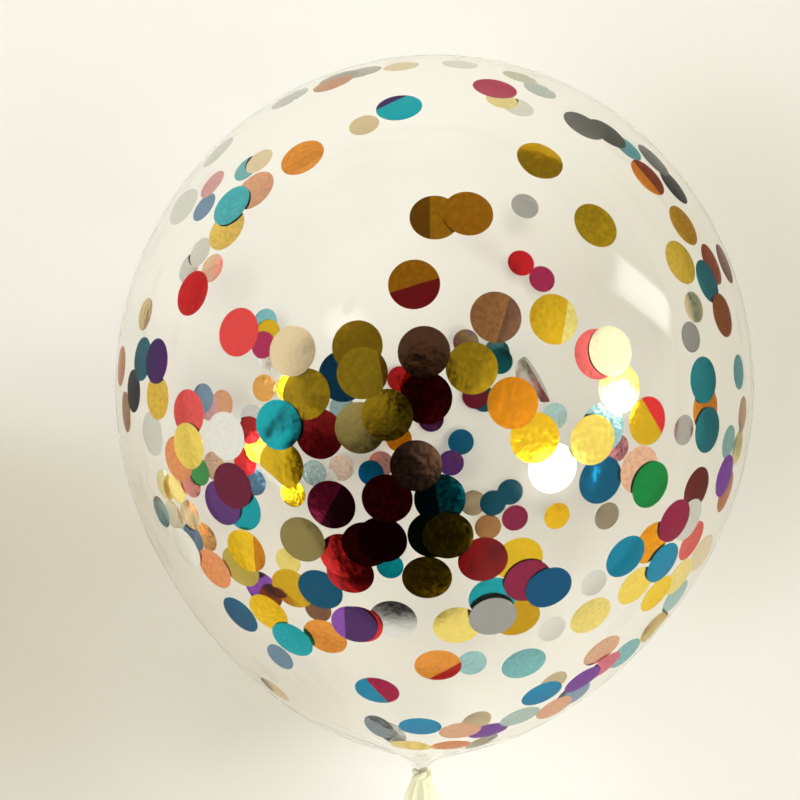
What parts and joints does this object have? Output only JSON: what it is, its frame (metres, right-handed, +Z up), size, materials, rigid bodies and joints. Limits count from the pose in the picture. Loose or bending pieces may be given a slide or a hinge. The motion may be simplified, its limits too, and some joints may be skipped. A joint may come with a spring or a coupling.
{
  "type": "confetti balloon",
  "caption": "Clear party balloon, blown to a near sphere and knotted, with round foil confetti clinging inside, lying on its side.",
  "frame": {"origin": "centre of the small flat spot that the balloon rests on, under its widest section", "axes": "+Z up; +Y along the balloon's long axis, from the knot to the crown; +X to the right with the crown at the top of a view from above"},
  "size_m": [0.27, 0.3389, 0.2688],
  "materials": {
    "clear_latex": "clear stretched latex, glossy, slightly warm, denser at the neck",
    "foil_gold": "metallised film, glossy gold",
    "foil_pale_gold": "metallised film, glossy pale gold",
    "foil_champagne": "metallised film, glossy champagne",
    "foil_copper": "metallised film, glossy copper",
    "foil_orange": "metallised film, glossy orange",
    "foil_red": "metallised film, glossy red",
    "foil_magenta": "metallised film, glossy magenta",
    "foil_purple": "metallised film, glossy purple",
    "foil_blue": "metallised film, glossy blue",
    "foil_teal": "metallised film, glossy teal",
    "foil_green": "metallised film, glossy green",
    "foil_silver": "metallised film, glossy silver"
  },
  "bodies": {
    "root": {"latex_envelope": "clear_latex"}
  },
  "joints": []
}
